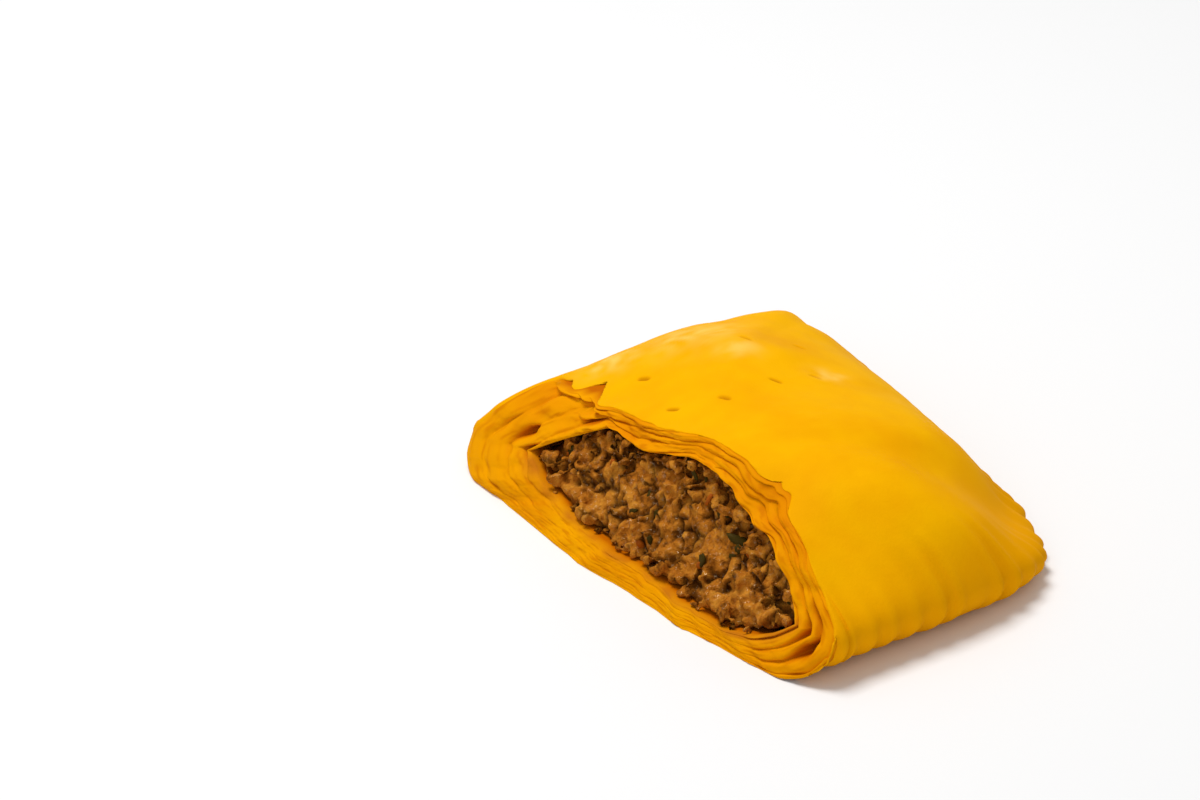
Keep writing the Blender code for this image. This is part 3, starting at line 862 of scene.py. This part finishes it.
class PATTY_OT_crust(bpy.types.Operator):
    """Makes the outer sheet of the crust, with its rim, its docking slits and the pocket inside it"""

    bl_idname = "patty.crust"
    bl_label = "Crust"

    def execute(self, context):
        sizes, colours = context.scene.patty_crust, context.scene.patty_colours
        crust = Crust()

        def edge(y, z):
            return sheet_edge(sizes, crust.profile.share(y, z), y, z, 0)

        mesh = crust.whole
        refine(mesh, lambda co: abs(co.x - edge(co.y, co.z)) < REFINED, 1)
        press_slits(mesh, sizes)
        rim = cut_open(mesh, edge)
        # The cut edge is rounded, then turns in: how far back each ring lies, and how deep in the wall
        rounded = ((-0.10 * MM, 0.02), (-0.12 * MM, 0.05), (0.1 * MM, 0.09))
        for back, depth in (*rounded, (3 * MM, 0.3), (sizes.reach, 0.5)):
            rim = self.lip(mesh, rim, crust, sizes, back, depth)
        pocket = filling_grid(crust.pocket, FIT_GAP)
        cut_open(pocket, lambda y, z: edge(y, z) + sizes.reach)
        join(mesh, pocket)
        bmesh.ops.bridge_loops(mesh, edges=[e for e in mesh.edges if e.is_boundary])
        bmesh.ops.recalc_face_normals(mesh, faces=mesh.faces)
        self.dust(mesh)
        finish = baked_pastry("Baked turmeric pastry", colours, sheets=False)
        piece_of("crust", mesh, finish, "pastry", "pastry")
        return {"FINISHED"}

    def lip(self, mesh, rim, crust, sizes, back, depth):
        """Turns the cut edge in by one more ring, and returns that ring's edges."""
        made = bmesh.ops.extrude_edge_only(mesh, edges=rim)
        for vertex in (item for item in made["geom"] if isinstance(item, bmesh.types.BMVert)):
            start = vertex.co.copy()
            share = crust.profile.share(start.y, start.z)
            x = sheet_edge(sizes, share, start.y, start.z, 0) + back
            vertex.co = crust.in_wall(share, depth, x)
        return [item for item in made["geom"] if isinstance(item, bmesh.types.BMEdge) and item.is_boundary]

    def dust(self, mesh):
        """Marks where flour is left on the top."""
        flour = mesh.verts.layers.float.new("flour")
        for vertex in mesh.verts:
            if vertex.co.z < TOP_ABOVE:
                continue
            for x, y, size in FLOUR_SPOTS:
                away = (vertex.co.xy - Vector((x * MM, y * MM))).length / (size * MM)
                speckled = 0.5 + 0.9 * noise.noise(vertex.co / (2.2 * MM))
                vertex[flour] = max(vertex[flour], min(1.0, bell(away, 0.6) * speckled))


class PATTY_OT_layers(bpy.types.Operator):
    """Makes the crust's cut face, where its broken sheets show between the skin and the filling"""

    bl_idname = "patty.layers"
    bl_label = "Flaky layers"

    def execute(self, context):
        sizes, colours = context.scene.patty_crust, context.scene.patty_colours
        crust = Crust()
        mesh = self.face(crust, sizes)
        crust.whole.free()
        finish = baked_pastry("Broken flaky pastry", colours, sheets=True)
        piece_of("crust_layers", mesh, finish, "pastry", "pastry")
        return {"FINISHED"}

    def face(self, crust, sizes):
        """A closed band: its front is the layered cut face, and its sides run back into the crust."""
        sheets = math.ceil(sizes.sheets + drift(0.0))
        front = [(number, t) for number in range(sheets) for t in SHEET_PLACES] + [(sheets, 0.0)]
        rows = len(front) + 2 * len(FACE_BACK)
        front_spots = KDTree((FACE_SPOTS + 1) * (len(front) + 1))
        front_marks = []

        def place(i, j):
            j %= rows
            share = i / FACE_SPOTS
            if j < len(front):
                number, t = front[j]
                back = 0.0
            else:
                at_skin = j - len(front) >= len(FACE_BACK)
                number, t = (0, 0.0) if at_skin else (sheets, 0.0)
                steps = FACE_BACK[::-1] if at_skin else FACE_BACK
                back = steps[(j - len(front)) % len(FACE_BACK)]
            # sunk here is the spot's mark for darker streaks and painted crease shade
            spot, sunk, soaked = self.spot(crust, sizes, share, (number, min(number + 1, sheets)), t, back)
            if j < len(front):
                front_spots.insert(spot, len(front_marks))
                front_marks.append((sunk, soaked))
            return spot

        mesh = grid(FACE_SPOTS, rows, place)
        front_spots.balance()
        # Each spot of the face takes its mark for darker streaks and painted crease shade, in full on the
        # band's sides that run back into the crust, and how far it is soaked with gravy
        streaks_and_crease_shade = mesh.verts.layers.float.new("streaks_and_crease_shade")
        soaked = mesh.verts.layers.float.new("soaked")
        for vertex in mesh.verts:
            _, number, away = front_spots.find(vertex.co)
            vertex[streaks_and_crease_shade], low = front_marks[number] if away <= 0.01 * MM else (1.0, 0.0)
            vertex[soaked] = low * min(1.0, max(0.0, 0.6 + 0.9 * noise.noise(vertex.co / (4 * MM))))
        return mesh

    def spot(self, crust, sizes, share, seams, t, back):
        """A spot of the band, how much it takes of the darker streaks and of the painted shade in a crease,
        and how much it is soaked with gravy. It lies between two seams, t of the way across the sheet there,
        and back from the cut face."""
        start, stop = (seam_depth(sizes, share, seam) for seam in seams)
        depth = lerp(0.05, 1.0, lerp(start, stop, t))
        depth = lerp(depth, 0.7, smooth_step(0.0, 1.0, back))
        outer, inner = crust.profile.across(share)
        face = outer.lerp(inner, depth)
        high = face.z / HEIGHT
        edge = sheet_edge(sizes, share, face.y, face.z, lerp(0.05, 1.0, lerp(start, stop, 0.5)))
        sunk = 0.0
        for seam, away in ((seams[0], t), (seams[0] + 1, 1 - t)):
            deep, wide = crease(sizes, share, seam)
            sunk = max(sunk, deep * bell(away, wide))
        thick = (stop - start) * (inner - outer).length
        nose = sizes.nose * min(1.0, thick / (0.8 * MM)) * math.sqrt(max(0.0, 1 - (2 * t - 1) ** 2))
        nose *= lerp(1.0, 0.25, at_foot(share))
        lip = sizes.lip * math.sin(math.pi * smooth_step(0.72, 1.12, depth)) * smooth_step(0.2, 0.5, high)
        calm = lerp(1.0, 0.45, at_foot(share))
        streaks = wander(share * 40, depth * 18, 1.0) * 0.18 * MM * calm
        chipped = wander(share * 200, depth * 12, 7.0) * 0.06 * MM
        x = edge + sunk - nose - lip + streaks + chipped
        # Darker streaks along the sheets, and painted shade as deep as a crease sinks in
        streaked = 0.5 * smooth_step(0.0, 0.5, wander(share * 50, depth * 22, 3.0))
        soaked = smooth_step(0.75, 1.0, depth) * (1 - smooth_step(0.25, 0.45, high))
        spot = crust.in_wall(share, depth, lerp(x, edge + sizes.reach, back))
        return spot, max(streaked, smooth_step(0.0, 1.4 * MM, sunk)), soaked


class PATTY_OT_filling(bpy.types.Operator):
    """Makes the minced filling: lumps and grains fused on the cut face of a core"""

    bl_idname = "patty.filling"
    bl_label = "Filling"

    def execute(self, context):
        sizes, colours = context.scene.patty_filling, context.scene.patty_colours
        draw = random.Random(sizes.seed)
        columns = pocket_columns()
        lumps = self.lumps(filling_loop(columns, 0), sizes, draw)
        # The lumps are fused with the front of the filling, and its plain core starts inside that
        front = self.slab(columns, 1.9 * MM, 10 * MM)
        for place, radius in lumps:
            self.lump(front, place, radius, draw)
        fused = self.fuse(data_of("mince", front), sizes.voxel)
        self.knead(fused, lumps)
        join(fused, self.slab(columns, 9 * MM, None, 0.25 * MM))
        piece_of("filling_mince", fused, stewed_mince("Stewed minced beef", colours), "filling", "filling")
        return {"FINISHED"}

    def slab(self, columns, start, stop, shrunk=0.0):
        """The filling's body from one depth behind its cut face to another, or to its very back."""
        mesh = filling_grid(columns, -shrunk)
        for depth, behind in ((start, True), (stop, False)):
            if depth is None:
                continue
            ring = cut_open(mesh, lambda y, z: self.set_back(y, z, depth), behind)
            made = bmesh.ops.holes_fill(mesh, edges=ring)
            bmesh.ops.triangulate(mesh, faces=made["faces"])
        bmesh.ops.recalc_face_normals(mesh, faces=mesh.faces)
        return mesh

    def set_back(self, y, z, depth):
        """A depth behind the filling's cut face. Where it is a small one, the foot comes closer."""
        foot = 0.8 if depth < 5 * MM else 1.0
        return filling_face(y, z) + depth * lerp(foot, 1.0, smooth_step(3 * MM, 8 * MM, z))

    def lumps(self, loop, sizes, draw):
        """Places and radii of the lumps, the largest first and each kept clear of larger ones."""
        flat = [(spot.y, spot.z) for spot in loop[::6]]
        kept = []
        for radius, tries, clear in LUMP_SIZES:
            size = lerp(sizes.grain_radius, sizes.lump_radius, radius)
            for _ in range(tries):
                y, z = draw.uniform(0, WIDTH), draw.uniform(0, HEIGHT)
                if not inside(flat, y, z):
                    continue
                own = size * draw.uniform(0.75, 1.15)
                if min(math.hypot(y - ay, z - az) for ay, az in flat) < 0.6 * own:
                    continue
                if self.has_room(y, z, own, clear, kept, draw):
                    back = draw.uniform(-0.7, 1.0) * own * 0.8
                    kept.append((Vector((filling_face(y, z) + 0.4 * own + back, y, z)), own))
        return kept

    def has_room(self, y, z, own, clear, kept, draw):
        """Whether a lump keeps clear of the others. Now and then one sits on a much larger one."""
        for place, radius in kept:
            much_larger = radius > 2 * own
            if math.hypot(y - place.y, z - place.z) > clear * (own + radius) * (1.0 if much_larger else 1.1):
                continue
            if not (much_larger and draw.random() < 0.3):
                return False
        return True

    def lump(self, mesh, place, radius, draw):
        """Adds one lump: a small uneven ball, longer one way than the others."""
        axis = Vector((draw.gauss(0, 1), draw.gauss(0, 1), draw.gauss(0, 1)))
        turn = Matrix.Rotation(draw.uniform(0, math.pi), 3, axis)
        stretch = Vector((draw.uniform(0.75, 1.0), draw.uniform(0.9, 1.6), draw.uniform(0.6, 0.9)))
        add_ball(mesh, 3 if radius > 1 * MM else 2, stretch, turn, radius, place, (0.45, 1.4), draw)

    def fuse(self, data, voxel):
        """Fuses everything in a mesh into one skin."""
        helper = object_of("mince", data)
        remesh = helper.modifiers.new("fuse", "REMESH")
        remesh.mode = "VOXEL"
        remesh.voxel_size = voxel
        graph = bpy.context.evaluated_depsgraph_get()
        skin = bpy.data.meshes.new_from_object(helper.evaluated_get(graph))
        bpy.data.objects.remove(helper)
        fused = bmesh.new()
        fused.from_mesh(skin)
        for done in (skin, data):
            bpy.data.meshes.remove(done)
        return fused

    def knead(self, mesh, lumps):
        """Softens the fused skin, roughens it, and marks each spot's lump and how deep it lies in a nook, for
        the painted shade there.
        """
        axes = {f"use_axis_{axis}": True for axis in "xyz"}
        bmesh.ops.smooth_vert(mesh, verts=mesh.verts, factor=0.5, **axes)
        mesh.normal_update()
        lump_mark = mesh.verts.layers.float.new("lump")
        sunk_mark = mesh.verts.layers.float.new("sunk")
        tree = KDTree(len(lumps))
        for i, (place, _) in enumerate(lumps):
            tree.insert(place, i)
        tree.balance()
        tints = random.Random(3)
        tint = [tints.random() for _ in lumps]
        for vertex in mesh.verts:
            at = vertex.co / (2.6 * MM)
            bend = [noise.noise(at + Vector((start, 0, 0))) for start in (11.3, 23.7, 37.1)]
            bent = vertex.co + Vector(bend) * 1.3 * MM
            distances, _ = noise.voronoi(Vector((bent.x / 3, bent.y / 2.6, bent.z / 3.8)) / MM)
            open_here = smooth_step(-0.35, 0.15, noise.noise(vertex.co / (4 * MM)))
            crack = max(0.0, 1 - (distances[1] - distances[0]) / 0.34) ** 1.2 * open_here
            rough = unevenness(vertex.co, 1.2, 0.34) + unevenness(vertex.co, 0.6, 0.1)
            _, i, _ = tree.find(vertex.co)
            vertex[lump_mark] = tint[i]
            depth = vertex.co.x - filling_face(vertex.co.y, vertex.co.z)
            # How deep a spot lies behind the face or in a crack, which is painted with shade
            vertex[sunk_mark] = max(smooth_step(0.9 * MM, 2.0 * MM, depth), crack)
            vertex.co += vertex.normal * (rough - 0.9 * MM * crack)


def inside(loop, y, z):
    """Whether a spot of the cut face lies inside a closed profile."""
    crossings = 0
    for (ay, az), (by, bz) in zip(loop, loop[1:] + loop[:1]):
        if (ay > y) != (by > y) and z < az + (bz - az) * (y - ay) / (by - ay):
            crossings += 1
    return crossings % 2 == 1


class PATTY_OT_bits(bpy.types.Operator):
    """Makes the bits of herb and hot pepper that show in the filling's cut face"""

    bl_idname = "patty.bits"
    bl_label = "Herb and pepper bits"

    def execute(self, context):
        colours = context.scene.patty_colours
        mince = bpy.data.objects["filling_mince"]
        solid = bmesh.new()
        solid.from_mesh(mince.data)
        bmesh.ops.transform(solid, matrix=TO_FRAME.inverted(), verts=solid.verts)
        surface = BVHTree.FromBMesh(solid)
        solid.free()
        loop = [(spot.y, spot.z) for spot in filling_loop(pocket_columns(), -1.5 * MM)[::6]]
        for name, seed, count, size, flat, finish in (
            ("herb_bits", 5, 14, 1.1 * MM, 0.3, cooked_bits("Cooked thyme and scallion", colours.herb, 0.5)),
            ("pepper_bits", 8, 9, 0.8 * MM, 0.6, cooked_bits("Chopped hot pepper", colours.pepper, 0.4)),
        ):
            draw = random.Random(seed)
            mesh = bmesh.new()
            placed = 0
            while placed < count:
                y, z = draw.uniform(0, WIDTH), draw.uniform(0, HEIGHT)
                spot, normal, *_ = surface.ray_cast(Vector((-2 * FOLD_HALF_LENGTH, y, z)), Vector((1, 0, 0)))
                if spot is None or not inside(loop, y, z):
                    continue
                self.bit(mesh, spot, normal, size * draw.uniform(0.6, 1.2), flat, draw)
                placed += 1
            piece_of(name, mesh, finish, "filling")
        return {"FINISHED"}

    def bit(self, mesh, spot, normal, size, flat, draw):
        """Adds one bit, pressed flat on to the mince."""
        turn = Matrix.Rotation(draw.uniform(0, math.pi), 3, "Z")
        facing = normal.to_track_quat("Z", "Y").to_matrix() @ turn
        stretch = Vector((draw.uniform(0.9, 1.5), draw.uniform(0.45, 0.8), flat))
        add_ball(mesh, 2, stretch, facing, size, spot - normal * 0.12 * MM, (0.5, 1.6), draw)


class PATTY_OT_stage(bpy.types.Operator):
    """Makes the pale table, the soft light and the camera"""

    bl_idname = "patty.stage"
    bl_label = "Stage"

    def execute(self, context):
        scene = context.scene
        self.table(scene)
        self.lights(scene)
        self.camera(scene)
        scene.view_settings.view_transform = "Standard"
        return {"FINISHED"}

    def table(self, scene):
        """A satin laminate top. It is pale and even, and it only takes the patty's shadow."""
        finish, shader = new_material("Satin white laminate")
        feed(shader, {"Base Color": opaque(scene.patty_colours.floor), "Roughness": 0.6})
        mesh = bmesh.new()
        bmesh.ops.create_grid(mesh, x_segments=8, y_segments=8, size=2.0)
        data = data_of("table", mesh)
        data.materials.append(finish)
        object_of("table", data)

    def lights(self, scene):
        world = bpy.data.worlds.new("soft room")
        world.use_nodes = True
        feed(world.node_tree.nodes["Background"], {"Color": (1, 1, 1, 1), "Strength": 0.42})
        scene.world = world
        for name, place, size, power in (
            ("key light", (-0.05, 0.22, 0.76), 0.35, 4.9),
            ("fill light", (-0.6, -0.5, 0.35), 0.4, 0.9),
        ):
            data = bpy.data.lights.new(name, "AREA")
            data.size = size
            data.energy = power
            lamp = object_of(name, data)
            lamp.location = place
            lamp.rotation_euler = (-Vector(place)).to_track_quat("-Z", "Y").to_euler()

    def camera(self, scene):
        """Turns the camera so that the patty's middle lands where it should in a frame of 1200 by 800."""
        seen = scene.patty_view
        middle = TO_FRAME @ Vector(AIMED_AT)
        back = Vector((
            math.sin(seen.azimuth) * math.cos(seen.elevation),
            -math.cos(seen.azimuth) * math.cos(seen.elevation),
            math.sin(seen.elevation),
        ))
        data = bpy.data.cameras.new("camera")
        data.sensor_width = SENSOR[0]
        data.lens = seen.lens
        data.clip_start = 0.05
        data.clip_end = 20
        camera = object_of("camera", data)
        aimed = (-back).to_track_quat("-Z", "Y").to_matrix()
        aside, up = (seen.across - 0.5) * SENSOR[0], (0.5 - seen.down) * SENSOR[1]
        ray = Vector((aside, up, -seen.lens)).normalized()
        turned = Vector((0, 0, -1)).rotation_difference(ray).to_matrix()
        stand = Matrix.Translation(middle + back * seen.distance)
        camera.matrix_world = stand @ (aimed @ turned.inverted()).to_4x4()
        scene.camera = camera


STEPS = (PATTY_OT_crust, PATTY_OT_layers, PATTY_OT_filling, PATTY_OT_bits, PATTY_OT_stage)
GROUPS = {
    "patty_crust": PattyCrustSizes,
    "patty_filling": PattyFillingSizes,
    "patty_colours": PattyColours,
    "patty_view": PattyView,
}


class PATTY_PT_steps(bpy.types.Panel):
    """Lists the steps that make the patty"""

    bl_idname = "PATTY_PT_steps"
    bl_label = "Jamaican patty"
    bl_space_type = "VIEW_3D"
    bl_region_type = "UI"
    bl_category = "Patty"

    def draw(self, context):
        for step in STEPS:
            self.layout.operator(step.bl_idname)
        for name in GROUPS:
            for key in getattr(context.scene, name).bl_rna.properties.keys():
                if key not in ("rna_type", "name"):
                    self.layout.prop(getattr(context.scene, name), key)


def register():
    for made in (*GROUPS.values(), *STEPS, PATTY_PT_steps):
        bpy.utils.register_class(made)
    for name, group in GROUPS.items():
        setattr(bpy.types.Scene, name, PointerProperty(type=group))


def unregister():
    for name in GROUPS:
        delattr(bpy.types.Scene, name)
    for made in (PATTY_PT_steps, *reversed(STEPS), *GROUPS.values()):
        bpy.utils.unregister_class(made)


def main():
    register()
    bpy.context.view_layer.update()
    for step in STEPS:
        group, name = step.bl_idname.split(".")
        getattr(getattr(bpy.ops, group), name)()


if __name__ == "__main__":
    main()
